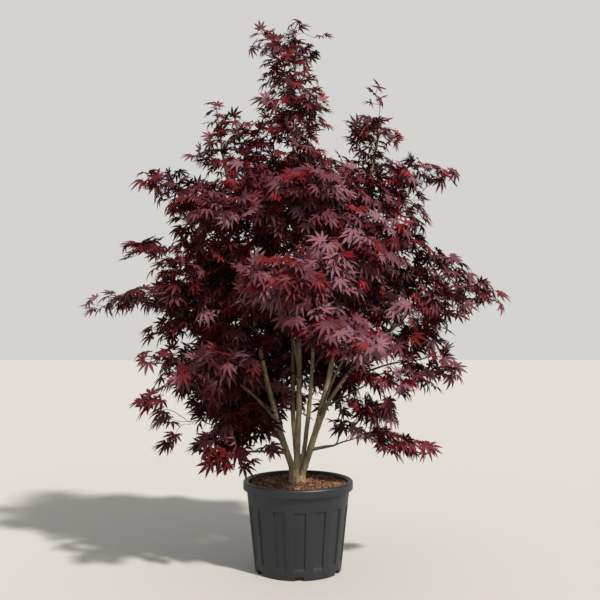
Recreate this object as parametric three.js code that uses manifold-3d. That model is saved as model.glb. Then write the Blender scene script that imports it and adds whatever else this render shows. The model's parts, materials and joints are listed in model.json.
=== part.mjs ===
// A Japanese maple with several stems, growing in a ribbed nursery pot topped with bark mulch.
//
// Millimetres, +Z up. The origin is on the ground under the middle of the pot, and -Y is the front.
//
// The pot and the soil are turned solids. The trunk is the fused foot from which the stems part.
// A stem or bough is one tapering limb bent along its curve, and it ends where it enters foliage.
// A mass of foliage is one uneven closed solid, cut clear of its neighbours and of the limbs
// that run through it.

import * as THREE from "three";
import { mergeVertices } from "three/addons/utils/BufferGeometryUtils.js";
import Module from "manifold-3d";

const wasm = await Module();
wasm.setup();

// ---- Driving dimensions -------------------------------------------------------------------------

const TREE_HEIGHT = 2036; // from the ground to the tip of the top shoot
const CROWN_REACH = 780; // from the middle of the pot to the furthest tips
const GAP = 0.4; // clearance that touching solids keep
const DEGREE = Math.PI / 180;

const POT = {
  height: 326,
  footRadius: 157,
  shoulderRadius: 187, // the wall just under the rim
  rimRadius: 200,
  rimDepth: 32,
  rimEdge: 5, // rounding of the rim's top
  rimDraw: 1, // how far the rim's face leans in
  wall: 5,
  floor: 6,
  panels: 15, // sunk panels between the ribs
  panelDepth: 2.5,
  panelShare: 0.56, // of each rib and panel, the part that is panel
  panelTop: 243,
  panelFoot: 30,
  holes: 6, // drainage notches round the foot
  holeWidth: 32,
  holeHeight: 16,
  turn: 2 * DEGREE, // the bearing of the front panel and notch, past the front
  sides: 30,
};
const CUTTER_DEPTH = 20; // of the blocks that cut the panels and the notches
const POT_CLEARANCE = 4; // between the pot's rim and the foliage that hangs over it
const GUARD_SIDES = 24;

const SOIL = { top: 314, edgeDrop: 3, edgeSlope: 8, edgeInset: 3, flatRadius: 60, sides: 15 };

// The fused foot's radius at shares of its height: flare, waist, swelling and fork.
const TRUNK = {
  height: 66,
  outline: [
    [29, 0],
    [24, 0.2],
    [27, 0.5],
    [34, 0.9],
    [29, 1],
  ],
  widen: 1.12,
  sides: 12,
};

// Where each stem stands on the trunk, and where it enters the foliage at its top. A stem that
// forks from another names it, and the height at which it leaves. The bend is under 1 where a stem
// spreads early and then straightens.
const STEMS = [
  { name: "leader_stem", foot: [-6, 6], top: [-8, 4, 1868], root: 13, tip: 4, bend: 0.8, sway: 16 },
  { name: "left_stem", foot: [-15, -8], top: [-278, 16, 1520], root: 14, tip: 4.5, bend: 0.78, sway: 9 },
  { name: "right_stem", foot: [19, -6], top: [292, 0, 1572], root: 14, tip: 4.5, bend: 0.85, sway: -10 },
  { name: "back_stem", foot: [0, 20], top: [-30, 190, 1370], root: 11, tip: 4.5, bend: 0.8, sway: 12 },
  { name: "inner_right_stem", foot: [8, 9], top: [92, 48, 1475], root: 10, tip: 4, bend: 0.7, sway: -12 },
  {
    name: "low_right_stem",
    from: "right_stem",
    leaves: 470,
    top: [366, -50, 900],
    root: 10,
    tip: 5,
    bend: 1.6,
    sway: 6,
  },
];
const STEM_STEP = 140; // length of one straight facet along a stem
const STEM_SIDES = 6;
const STEM_TAPER = 1.6; // above 1, a stem thins fastest near its foot
const HALVINGS = 30; // of a line's length, to find the place where it reaches a height

// The foliage. Each mass is placed to the right, back and up: the first two are shares of the
// crown's reach, the third a share of the tree's height. Its half sizes are shares of the reach:
// along its length, which runs outwards and up by the lift in degrees, across it, and through it.
const MASSES = [
  { name: "apex", at: [0.0, 0.0, 0.958], half: [0.115, 0.085, 0.085], lift: 90 },
  { name: "apex_left", at: [-0.135, -0.01, 0.925], half: [0.11, 0.085, 0.075], lift: 20 },
  { name: "upper_cone", at: [-0.02, 0.0, 0.868], half: [0.17, 0.15, 0.16], lift: 88 },
  { name: "cone", at: [-0.06, -0.02, 0.79], half: [0.21, 0.17, 0.15], lift: 0 },
  { name: "left_shoulder", at: [-0.38, 0.01, 0.79], half: [0.16, 0.11, 0.11], lift: 82 },
  { name: "left_inner", at: [-0.3, -0.05, 0.715], half: [0.17, 0.18, 0.13], lift: 30 },
  { name: "left_high", at: [-0.58, 0.02, 0.675], half: [0.2, 0.17, 0.14], lift: 24 },
  { name: "left_heart", at: [-0.33, -0.12, 0.615], half: [0.24, 0.22, 0.2], lift: 20 },
  { name: "left_middle", at: [-0.6, -0.08, 0.565], half: [0.22, 0.18, 0.11], lift: 10 },
  { name: "left_far", at: [-0.7, 0.02, 0.48], half: [0.29, 0.17, 0.11], lift: 0 },
  { name: "left_waist", at: [-0.35, -0.06, 0.48], half: [0.22, 0.22, 0.2], lift: 10 },
  { name: "left_low", at: [-0.52, -0.06, 0.385], half: [0.22, 0.18, 0.12], lift: -8 },
  { name: "left_under", at: [-0.32, 0.02, 0.33], half: [0.24, 0.22, 0.19], lift: 5 },
  { name: "left_lowest", at: [-0.42, 0.03, 0.262], half: [0.24, 0.15, 0.09], lift: -3 },
  { name: "left_skirt", at: [-0.31, -0.16, 0.212], half: [0.14, 0.14, 0.1], lift: -15 },
  { name: "right_apex", at: [0.385, 0.0, 0.825], half: [0.17, 0.1, 0.1], lift: 88 },
  { name: "right_upper", at: [0.36, 0.0, 0.71], half: [0.21, 0.18, 0.18], lift: 75 },
  { name: "right_high", at: [0.6, 0.03, 0.7], half: [0.19, 0.15, 0.11], lift: 12 },
  { name: "right_middle", at: [0.44, -0.04, 0.615], half: [0.17, 0.17, 0.12], lift: 5 },
  { name: "right_far", at: [0.715, 0.0, 0.52], half: [0.29, 0.18, 0.155], lift: -28 },
  { name: "right_lower", at: [0.47, -0.08, 0.46], half: [0.21, 0.2, 0.15], lift: 10 },
  { name: "right_drooping", at: [0.64, -0.02, 0.38], half: [0.15, 0.1, 0.08], lift: -48 },
  { name: "right_low", at: [0.41, -0.08, 0.34], half: [0.22, 0.2, 0.14], lift: 0 },
  { name: "right_lowest", at: [0.38, 0.0, 0.228], half: [0.26, 0.17, 0.11], lift: -10 },
  { name: "upper_front", at: [0.03, -0.2, 0.66], half: [0.24, 0.26, 0.2], lift: 20 },
  { name: "right_heart", at: [0.26, -0.22, 0.555], half: [0.24, 0.24, 0.19], lift: 10 },
  { name: "front_high", at: [-0.06, -0.42, 0.51], half: [0.22, 0.26, 0.16], lift: 0 },
  { name: "front_low", at: [0.23, -0.45, 0.415], half: [0.2, 0.23, 0.14], lift: -5 },
  { name: "front_left", at: [-0.34, -0.42, 0.37], half: [0.18, 0.17, 0.13], lift: -5 },
  { name: "back_upper", at: [0.0, 0.22, 0.685], half: [0.23, 0.28, 0.26], lift: 30 },
  { name: "back_left", at: [-0.34, 0.36, 0.52], half: [0.26, 0.26, 0.24], lift: 15 },
  { name: "back_right", at: [0.34, 0.36, 0.52], half: [0.26, 0.26, 0.24], lift: 15 },
  { name: "back", at: [0.0, 0.55, 0.47], half: [0.22, 0.28, 0.22], lift: 15 },
  { name: "back_low", at: [-0.02, 0.28, 0.345], half: [0.2, 0.4, 0.26], lift: 0 },
];

// The masses that are borne on boughs of their own: the stem that each bough leaves, and where.
const BOUGH_STARTS = {
  left_high: { stem: "left_stem", leaves: 1010 },
  left_middle: { stem: "left_stem", leaves: 860 },
  left_far: { stem: "left_stem", leaves: 730 },
  left_low: { stem: "left_stem", leaves: 570 },
  left_lowest: { stem: "left_stem", leaves: 480 },
  left_skirt: { stem: "left_stem", leaves: 425 },
  right_high: { stem: "right_stem", leaves: 1130 },
  right_far: { stem: "low_right_stem", leaves: 800 },
  right_drooping: { stem: "low_right_stem", leaves: 690 },
  right_low: { stem: "low_right_stem", leaves: 590 },
  right_lowest: { stem: "right_stem", leaves: 435 },
  front_high: { stem: "leader_stem", leaves: 690 },
  front_low: { stem: "right_stem", leaves: 560 },
  front_left: { stem: "left_stem", leaves: 540 },
  back_left: { stem: "back_stem", leaves: 700 },
  back_right: { stem: "inner_right_stem", leaves: 720 },
  back: { stem: "back_stem", leaves: 560 },
};
const BOUGH = { rootShare: 0.55, mostRoot: 7, tip: 2.8, arch: 0.1, facets: 2, sides: 5 };
const LUMPS = { wide: 0.13, fine: 0.08, underside: 0.85, outerTaper: 0.16 }; // unevenness of a mass
const WAVES = { wide: [2.9, 2.6], fine: [5.1, 4.7], skew: 2.2, phases: [1.7, 2.4, 3.9] };
const MASS_FACETS = [8, 6]; // round a mass, and from its inner end to its outer one

// ---- Solids -------------------------------------------------------------------------------------

// A three.js geometry as a solid for cutting.
function solidOf(geometry) {
  const bare = geometry.clone();
  bare.deleteAttribute("normal");
  bare.deleteAttribute("uv");
  const merged = mergeVertices(bare, 1e-3);
  const mesh = new wasm.Mesh({
    numProp: 3,
    vertProperties: merged.attributes.position.array,
    triVerts: new Uint32Array(merged.index.array),
  });
  return new wasm.Manifold(mesh);
}

// The solid with the others cut out of it. Where that leaves several pieces, the largest is kept.
function cut(solid, others) {
  const left = others.reduce((rest, other) => rest.subtract(other), solid);
  return left.decompose().sort((a, b) => b.volume() - a.volume())[0];
}

// A named mesh of a solid in the part's frame, placed by its own position.
function meshOf(name, solid, place, material) {
  const { numProp, numVert, vertProperties, triVerts } = solid.getMesh();
  const positions = new Float32Array(numVert * 3);
  for (let i = 0; i < numVert; i++) {
    positions.set(vertProperties.subarray(i * numProp, i * numProp + 3), i * 3);
  }
  const geometry = new THREE.BufferGeometry();
  geometry.setAttribute("position", new THREE.BufferAttribute(positions, 3));
  geometry.setIndex(new THREE.BufferAttribute(triVerts, 1));
  geometry.translate(-place.x, -place.y, -place.z);
  geometry.computeVertexNormals();
  const mesh = new THREE.Mesh(geometry, material);
  mesh.name = name;
  mesh.position.copy(place);
  return mesh;
}

// A profile of [radius, height] points turned round the Z axis.
function turned(profile, sides) {
  const points = profile.map(([radius, height]) => new THREE.Vector2(radius, height));
  return new THREE.LatheGeometry(points, sides).rotateX(Math.PI / 2);
}

// ---- Limbs --------------------------------------------------------------------------------------

// The line of a stem: it rises evenly while it spreads from its foot to its top, and sways once.
class StemLine extends THREE.Curve {
  constructor(foot, top, bend, sway) {
    super();
    Object.assign(this, { foot, top, bend, sway });
    const across = new THREE.Vector3(0, 0, 1).cross(top.clone().sub(foot));
    this.across = across.normalize();
  }

  getPoint(t, target = new THREE.Vector3()) {
    const spread = t ** this.bend;
    target.lerpVectors(this.foot, this.top, spread);
    target.z = THREE.MathUtils.lerp(this.foot.z, this.top.z, t);
    return target.addScaledVector(this.across, this.sway * Math.sin(2 * Math.PI * t));
  }
}

// A limb: a cylinder bent along a line, with its radius set along the way and grown all over.
function bentLimb({ line, radiusAt, facets, sides }, grow = 0) {
  const geometry = new THREE.CylinderGeometry(1, 1, 1, sides, facets);
  const { tangents, normals, binormals } = line.computeFrenetFrames(facets, false);
  const position = geometry.attributes.position;
  for (let i = 0; i < position.count; i++) {
    const t = THREE.MathUtils.clamp(position.getY(i) + 0.5, 0, 1);
    const ring = Math.round(t * facets);
    const radius = radiusAt(t) + grow;
    const end = ring === 0 ? -grow : ring === facets ? grow : 0;
    const point = line
      .getPointAt(t)
      .addScaledVector(tangents[ring], end)
      .addScaledVector(normals[ring], position.getX(i) * radius)
      .addScaledVector(binormals[ring], -position.getZ(i) * radius);
    position.setXYZ(i, point.x, point.y, point.z);
  }
  return solidOf(geometry);
}

// The share of a line's length at which it reaches a height.
function shareAtHeight(line, height) {
  let [low, high] = [0, 1];
  for (let halving = 0; halving < HALVINGS; halving++) {
    const middle = (low + high) / 2;
    if (line.getPointAt(middle).z < height) low = middle;
    else high = middle;
  }
  return low;
}

function stemLimb(spec, limbs) {
  const parent = limbs[spec.from];
  const forkHeight = SOIL.top + TRUNK.height;
  const foot = parent
    ? parent.line.getPointAt(shareAtHeight(parent.line, spec.leaves))
    : new THREE.Vector3(...spec.foot, forkHeight - TRUNK.height / 3);
  const line = new StemLine(foot, new THREE.Vector3(...spec.top), spec.bend, spec.sway);
  const radiusAt = (t) => spec.tip + (spec.root - spec.tip) * (1 - t) ** STEM_TAPER;
  const facets = Math.ceil(line.getLength() / STEM_STEP);
  return { line, radiusAt, facets, sides: STEM_SIDES };
}

// A bough: it leaves its stem at a height, arches a little, and heads for the middle of its mass.
function boughLimb({ stem, leaves, place }, limbs) {
  const parent = limbs[stem];
  const share = shareAtHeight(parent.line, leaves);
  const start = parent.line.getPointAt(share);
  const root = Math.min(parent.radiusAt(share) * BOUGH.rootShare, BOUGH.mostRoot);
  const crest = start.clone().lerp(place, 0.5);
  crest.z += BOUGH.arch * start.distanceTo(place);
  const line = new THREE.QuadraticBezierCurve3(start, crest, place);
  const radiusAt = (t) => THREE.MathUtils.lerp(root, BOUGH.tip, t);
  return { line, radiusAt, facets: BOUGH.facets, sides: BOUGH.sides };
}

// ---- Foliage ------------------------------------------------------------------------------------

// Where a mass lies, the bearing that its length runs out on, and where its bough starts.
function placed(spec) {
  const [right, back, up] = spec.at;
  const place = new THREE.Vector3(right * CROWN_REACH, back * CROWN_REACH, up * TREE_HEIGHT);
  return { ...spec, ...BOUGH_STARTS[spec.name], place, bearing: Math.atan2(back, right) };
}

// A mass as a lumpy egg, narrower at its outer end and flatter beneath. Its number sets its lumps.
function foliageBlob(spec, number, grow = 0) {
  const half = new THREE.Vector3(...spec.half).multiplyScalar(CROWN_REACH);
  const geometry = new THREE.SphereGeometry(1, ...MASS_FACETS).rotateZ(Math.PI / 2);
  const position = geometry.attributes.position;
  const [first, second, third] = WAVES.phases.map((phase) => number * phase);
  const point = new THREE.Vector3();
  for (let i = 0; i < position.count; i++) {
    point.fromBufferAttribute(position, i);
    const { x, y, z } = point;
    const wide = Math.sin(WAVES.wide[0] * x + first) * Math.cos(WAVES.wide[1] * y + second);
    const along = WAVES.fine[0] * z + WAVES.skew * x + third;
    const fine = Math.sin(along) * Math.cos(WAVES.fine[1] * y + first);
    const swell = 1 + LUMPS.wide * wide + LUMPS.fine * fine;
    const taper = 1 - LUMPS.outerTaper * x;
    point.set(x, y * taper, z * taper * (z < 0 ? LUMPS.underside : 1));
    point.multiply(half).multiplyScalar(swell);
    point.setLength(point.length() + grow);
    position.setXYZ(i, point.x, point.y, point.z);
  }
  geometry.rotateY(-spec.lift * DEGREE).rotateZ(spec.bearing);
  geometry.translate(spec.place.x, spec.place.y, spec.place.z);
  return solidOf(geometry);
}

// ---- Pot and soil -------------------------------------------------------------------------------

// The pot's outer radius at a height: a straight taper up to the rim, then upright.
function wallRadius(height) {
  const share = Math.min(height / (POT.height - POT.rimDepth), 1);
  return THREE.MathUtils.lerp(POT.footRadius, POT.shoulderRadius, share);
}

function potSolid() {
  const rimFoot = POT.height - POT.rimDepth;
  const lip = POT.rimRadius - POT.rimEdge;
  const mouth = wallRadius(rimFoot) - POT.wall;
  const body = solidOf(
    turned(
      [
        [0, 0],
        [POT.footRadius, 0],
        [wallRadius(rimFoot), rimFoot],
        [POT.rimRadius, rimFoot],
        [POT.rimRadius - POT.rimDraw, POT.height - POT.rimEdge],
        [lip - POT.rimDraw, POT.height],
        [mouth + POT.rimEdge, POT.height],
        [mouth, POT.height - POT.rimEdge],
        [mouth, rimFoot],
        [wallRadius(POT.floor) - POT.wall, POT.floor],
        [0, POT.floor],
      ],
      POT.sides,
    ),
  );
  const cutters = [];
  const lean = Math.atan((POT.shoulderRadius - POT.footRadius) / rimFoot);
  const panelHeight = POT.panelTop - POT.panelFoot;
  const panelMiddle = (POT.panelTop + POT.panelFoot) / 2;
  for (let i = 0; i < POT.panels; i++) {
    const width = (2 * Math.PI * wallRadius(panelMiddle) * POT.panelShare) / POT.panels;
    const block = new THREE.BoxGeometry(CUTTER_DEPTH, width, panelHeight).rotateY(lean);
    block.translate(wallRadius(panelMiddle) + CUTTER_DEPTH / 2 - POT.panelDepth, 0, panelMiddle);
    const bearing = -Math.PI / 2 + POT.turn + (i * 2 * Math.PI) / POT.panels;
    cutters.push(solidOf(block.rotateZ(bearing)));
  }
  for (let i = 0; i < POT.holes; i++) {
    const block = new THREE.BoxGeometry(CUTTER_DEPTH, POT.holeWidth, 2 * POT.holeHeight);
    block.translate(POT.footRadius, 0, 0);
    const bearing = -Math.PI / 2 + POT.turn + (i * 2 * Math.PI) / POT.holes;
    cutters.push(solidOf(block.rotateZ(bearing)));
  }
  return cut(body, cutters);
}

function soilSolid() {
  const inside = (height) => wallRadius(height) - POT.wall - 2 * GAP;
  const edge = SOIL.top - SOIL.edgeDrop;
  const shoulder = edge - SOIL.edgeSlope;
  const bottom = POT.floor + GAP;
  return solidOf(
    turned(
      [
        [0, bottom],
        [inside(bottom), bottom],
        [inside(shoulder), shoulder],
        [inside(shoulder) - SOIL.edgeInset, edge],
        [SOIL.flatRadius, SOIL.top],
        [0, SOIL.top],
      ],
      SOIL.sides,
    ),
  );
}

// The trunk: flared where it meets the soil, then widening to the fork.
function trunkSolid(grow = 0) {
  const { height, outline, widen, sides } = TRUNK;
  const base = GAP - grow;
  const rise = height + grow - base;
  const bark = outline.map(([radius, share]) => [radius + grow, base + rise * share]);
  const profile = [[0, base], ...bark, [0, base + rise]];
  return solidOf(turned(profile, sides).scale(widen, 1, 1).translate(0, 0, SOIL.top));
}

// The space that the pot fills, kept clear of foliage.
function potGuard() {
  const radius = POT.rimRadius + POT_CLEARANCE;
  const height = POT.height + 2 * POT_CLEARANCE;
  const guard = new THREE.CylinderGeometry(radius, radius, height, GUARD_SIDES);
  return solidOf(guard.rotateX(Math.PI / 2).translate(0, 0, POT.height / 2));
}

// ---- Assembly -----------------------------------------------------------------------------------

const finish = (color, roughness) => new THREE.MeshStandardMaterial({ color, roughness, metalness: 0 });
const MATERIALS = {
  pot: finish(0x35363a, 0.55),
  soil: finish(0x5a3320, 0.95),
  bark: finish(0x8a7c60, 0.8),
  leaves: finish(0x4a1722, 0.6),
};

const origin = new THREE.Vector3();
const soilLevel = new THREE.Vector3(0, 0, SOIL.top);

const container = new THREE.Group();
container.add(meshOf("pot", potSolid(), origin, MATERIALS.pot));
container.add(meshOf("soil", soilSolid(), origin, MATERIALS.soil));

const wood = new THREE.Group();
wood.add(meshOf("trunk", trunkSolid(), soilLevel, MATERIALS.bark));

const limbs = {};
const grownLimbs = [trunkSolid(GAP)];
for (const spec of STEMS) {
  const limb = stemLimb(spec, limbs);
  limbs[spec.name] = limb;
  const solid = cut(bentLimb(limb), grownLimbs);
  wood.add(meshOf(spec.name, solid, limb.line.getPointAt(0), MATERIALS.bark));
  grownLimbs.push(bentLimb(limb, GAP));
}

const masses = MASSES.map(placed);
masses.forEach((mass, number) => {
  if (!mass.stem) return;
  const limb = boughLimb(mass, limbs);
  const solid = cut(bentLimb(limb), [...grownLimbs, foliageBlob(mass, number, GAP)]);
  wood.add(meshOf(`${mass.name}_bough`, solid, limb.line.getPointAt(0), MATERIALS.bark));
  grownLimbs.push(bentLimb(limb, GAP));
});

const foliage = new THREE.Group();
const taken = [potGuard(), ...grownLimbs];
masses.forEach((mass, number) => {
  const own = foliageBlob(mass, number);
  foliage.add(meshOf(`${mass.name}_foliage`, cut(own, taken), mass.place, MATERIALS.leaves));
  taken.push(foliageBlob(mass, number, GAP));
});

const maple = new THREE.Group();
maple.name = "potted_maple";
maple.add(container, wood, foliage);

export default maple;
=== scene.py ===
import json
import math

import bmesh
import bpy
import numpy as np
from mathutils import Matrix, Vector, noise
from mathutils.bvhtree import BVHTree

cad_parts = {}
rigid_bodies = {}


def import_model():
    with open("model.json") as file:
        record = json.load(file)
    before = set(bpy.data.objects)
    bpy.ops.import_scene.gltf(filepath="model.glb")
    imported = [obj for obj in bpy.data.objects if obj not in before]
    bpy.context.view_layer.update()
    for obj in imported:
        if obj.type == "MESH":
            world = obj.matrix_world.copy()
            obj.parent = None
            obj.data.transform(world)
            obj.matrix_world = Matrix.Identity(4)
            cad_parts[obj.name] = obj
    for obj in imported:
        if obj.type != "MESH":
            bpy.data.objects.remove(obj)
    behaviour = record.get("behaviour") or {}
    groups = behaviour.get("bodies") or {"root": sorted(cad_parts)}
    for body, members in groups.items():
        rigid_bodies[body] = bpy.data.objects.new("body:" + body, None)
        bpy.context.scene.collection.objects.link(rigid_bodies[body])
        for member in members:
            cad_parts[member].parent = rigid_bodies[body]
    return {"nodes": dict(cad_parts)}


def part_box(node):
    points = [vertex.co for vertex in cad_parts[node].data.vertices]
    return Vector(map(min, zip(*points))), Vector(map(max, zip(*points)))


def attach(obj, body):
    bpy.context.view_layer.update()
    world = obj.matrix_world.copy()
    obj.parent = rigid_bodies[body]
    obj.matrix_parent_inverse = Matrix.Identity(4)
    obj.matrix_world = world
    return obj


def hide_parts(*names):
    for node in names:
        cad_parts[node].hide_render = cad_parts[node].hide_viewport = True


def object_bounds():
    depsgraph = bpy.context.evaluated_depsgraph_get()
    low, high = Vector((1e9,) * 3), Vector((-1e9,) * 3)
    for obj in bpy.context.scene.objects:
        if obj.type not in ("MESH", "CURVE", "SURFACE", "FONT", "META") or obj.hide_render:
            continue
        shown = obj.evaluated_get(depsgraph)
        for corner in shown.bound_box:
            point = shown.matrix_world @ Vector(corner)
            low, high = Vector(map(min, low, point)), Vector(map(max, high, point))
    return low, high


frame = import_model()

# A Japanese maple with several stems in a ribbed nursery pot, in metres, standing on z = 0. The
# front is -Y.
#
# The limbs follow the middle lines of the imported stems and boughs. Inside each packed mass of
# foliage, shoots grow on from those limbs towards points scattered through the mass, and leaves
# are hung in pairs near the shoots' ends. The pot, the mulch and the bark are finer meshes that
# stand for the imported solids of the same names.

CAD_BOX = [list(corner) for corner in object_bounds()]
NODES = frame["nodes"]
RNG = np.random.default_rng(20)
noise.seed_set(20)
UP = np.array([0.0, 0.0, 1.0])
LEVEL = np.array([1.0, 1.0, 0.0])  # times a place, gives the way out from the middle
MM = 0.001

FOLIAGE = sorted(name for name in NODES if name.endswith("_foliage"))
STEMS = sorted(name for name in NODES if name.endswith("_stem"))
BOUGHS = sorted(name for name in NODES if name.endswith("_bough"))


# ---- Camera, light and floor ---------------------------------------------------------------------

def add_camera():
    """A level camera in front of the plant, at half its height."""
    lens = bpy.data.cameras.new("camera")
    lens.lens = 56.7
    lens.sensor_width = 36.0
    camera = bpy.data.objects.new("camera", lens)
    camera.location = (0.007, -3.45, 0.981)
    camera.rotation_euler = (math.pi / 2, 0.0, 0.0)
    bpy.context.scene.collection.objects.link(camera)
    bpy.context.scene.camera = camera


def add_sun(name, strength, softness, bearing, height, colour):
    """A distant light that comes from a bearing, 0 being the right and 270 the front."""
    lamp = bpy.data.lights.new(name, "SUN")
    lamp.energy = strength
    lamp.angle = math.radians(softness)
    lamp.color = colour
    sun = bpy.data.objects.new(name, lamp)
    out, up = math.radians(bearing), math.radians(height)
    towards = Vector((math.cos(out) * math.cos(up), math.sin(out) * math.cos(up), math.sin(up)))
    sun.rotation_euler = towards.to_track_quat("Z", "Y").to_euler()
    bpy.context.scene.collection.objects.link(sun)


def add_sky(colour, strength):
    """An even light from all round."""
    world = bpy.data.worlds.new("pale studio")
    world.use_nodes = True
    background = world.node_tree.nodes["Background"]
    background.inputs["Color"].default_value = (*colour, 1.0)
    background.inputs["Strength"].default_value = strength
    bpy.context.scene.world = world
    bpy.context.scene.view_settings.view_transform = "Standard"


# ---- Materials -----------------------------------------------------------------------------------

def linear(red, green, blue):
    """A screen colour from 0 to 255 as the light values that shaders take."""
    def channel(value):
        value /= 255
        return value / 12.92 if value <= 0.04045 else ((value + 0.055) / 1.055) ** 2.4
    return (channel(red), channel(green), channel(blue), 1.0)


class Value:
    """A shader node's output. Arithmetic on it adds Math nodes."""

    def __init__(self, finish, socket):
        self.finish = finish
        self.socket = socket

    def arithmetic(self, operation, first, second):
        return self.finish.node(
            "ShaderNodeMath", {"operation": operation}, {0: first, 1: second})

    def __add__(self, other):
        return self.arithmetic("ADD", self, other)

    def __radd__(self, other):
        return self.arithmetic("ADD", other, self)

    def __sub__(self, other):
        return self.arithmetic("SUBTRACT", self, other)

    def __rsub__(self, other):
        return self.arithmetic("SUBTRACT", other, self)

    def __mul__(self, other):
        return self.arithmetic("MULTIPLY", self, other)

    def __rmul__(self, other):
        return self.arithmetic("MULTIPLY", other, self)


class Finish:
    """A material and the surface shader that its nodes feed."""

    def __init__(self, name, colour, roughness, **plain):
        self.material = bpy.data.materials.new(name)
        self.material.use_nodes = True
        self.tree = self.material.node_tree
        self.surface = self.tree.nodes["Principled BSDF"]
        self.surface.inputs["Base Color"].default_value = colour
        self.surface.inputs["Roughness"].default_value = roughness
        for socket, value in plain.items():
            self.surface.inputs[socket.replace("_", " ")].default_value = value

    def node(self, kind, settings, inputs, output=0):
        made = self.tree.nodes.new(kind)
        for key, value in settings.items():
            setattr(made, key, value)
        for key, value in inputs.items():
            self.join(value, made.inputs[key])
        return Value(self, made.outputs[output])

    def join(self, value, socket):
        if isinstance(value, Value):
            self.tree.links.new(value.socket, socket)
        else:
            socket.default_value = value

    def feed(self, socket, value):
        self.join(value, self.surface.inputs[socket])

    def place(self):
        return self.node("ShaderNodeTexCoord", {}, {}, "Object")

    def stretched(self, across, along):
        """The place on the piece, with its X and Y scaled by one number and its Z by another."""
        scale = (across, across, along)
        return self.node("ShaderNodeVectorMath", {"operation": "MULTIPLY"}, {0: self.place(), 1: scale})

    def cloud(self, where, scale, detail=3.0, roughness=0.55):
        inputs = {"Vector": where, "Scale": scale, "Detail": detail, "Roughness": roughness}
        return self.node("ShaderNodeTexNoise", {}, inputs, "Fac")

    def between(self, value, low, high):
        """0 where the value is low or less, 1 where it is high or more, and smooth between."""
        settings = {"interpolation_type": "SMOOTHSTEP"}
        return self.node("ShaderNodeMapRange", settings, {0: value, 1: low, 2: high})

    def mix(self, share, first, second):
        return self.node("ShaderNodeMix", {"data_type": "RGBA"}, {0: share, 6: first, 7: second}, 2)

    def bump(self, height, strength, distance):
        inputs = {"Height": height, "Strength": strength, "Distance": distance}
        self.feed("Normal", self.node("ShaderNodeBump", {}, inputs, "Normal"))


def shaded(colour, share):
    """A colour made darker, or lighter where the share is over 1."""
    return tuple(share * channel for channel in colour[:3]) + (1.0,)


def bark_finish(name, dull, rubbed):
    """Smooth bark with fine upright striation, pale where it is rubbed and dark in the grooves."""
    bark = Finish(name, dull, 0.72)
    patches = bark.cloud(bark.stretched(1.0, 0.45), 22.0)
    strands = bark.cloud(bark.stretched(1.0, 0.09), 340.0, 4.0, 0.65)
    flecks = bark.cloud(bark.stretched(1.0, 1.8), 420.0, 2.0)
    tone = bark.mix(bark.between(patches, 0.35, 0.68), dull, rubbed)
    ridged = bark.mix(bark.between(strands, 0.3, 0.62), shaded(dull, 0.42), tone)
    mossy = bark.cloud(bark.place(), 9.0)
    greened = bark.mix(bark.between(mossy, 0.52, 0.74) * 0.4, ridged, linear(84, 84, 60))
    flecked = bark.mix(bark.between(flecks, 0.66, 0.76) * 0.5, greened, shaded(rubbed, 1.5))
    bark.feed("Base Color", flecked)
    bark.feed("Roughness", 0.86 - 0.22 * patches)
    bark.bump(strands * 0.7 + flecks * 0.3, 0.5, 0.9 * MM)
    return bark.material


def pot_finish():
    """Matte charcoal plastic with a moulded grain, a little dust, and scuffs."""
    plastic = Finish("charcoal plastic", linear(26, 29, 33), 0.5)
    dust = plastic.cloud(plastic.place(), 7.0, 5.0, 0.6)
    runs = plastic.cloud(plastic.stretched(1.0, 0.06), 60.0, 3.0)
    grain = plastic.cloud(plastic.place(), 1400.0, 2.0)
    scuffs = plastic.cloud(plastic.stretched(1.0, 3.0), 90.0, 4.0, 0.7)
    worn = plastic.mix(plastic.between(dust, 0.42, 0.75) * 0.5, linear(25, 28, 33), linear(35, 37, 41))
    streaked = plastic.mix(plastic.between(runs, 0.56, 0.72) * 0.3, worn, linear(43, 43, 44))
    scuffed = plastic.mix(plastic.between(scuffs, 0.7, 0.8) * 0.3, streaked, linear(58, 59, 61))
    plastic.feed("Base Color", scuffed)
    plastic.feed("Roughness", 0.36 + 0.24 * dust)
    plastic.bump(grain, 0.25, 0.25 * MM)
    return plastic.material


def mulch_finish(name, colour, pale):
    """Bark mulch with grain along it, or the crumbs under it."""
    mulch = Finish(name, colour, 0.9)
    grain = mulch.cloud(mulch.place(), 260.0, 5.0, 0.7)
    lumps = mulch.cloud(mulch.place(), 45.0)
    tone = mulch.mix(mulch.between(grain, 0.32, 0.66), shaded(colour, 0.45), colour)
    mulch.feed("Base Color", mulch.mix(mulch.between(lumps, 0.5, 0.72) * 0.6, tone, pale))
    mulch.bump(grain, 0.6, 1.2 * MM)
    return mulch.material


def plain_finish(name, colour, roughness, **plain):
    return Finish(name, colour, roughness, **plain).material


# ---- Meshes --------------------------------------------------------------------------------------

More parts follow.
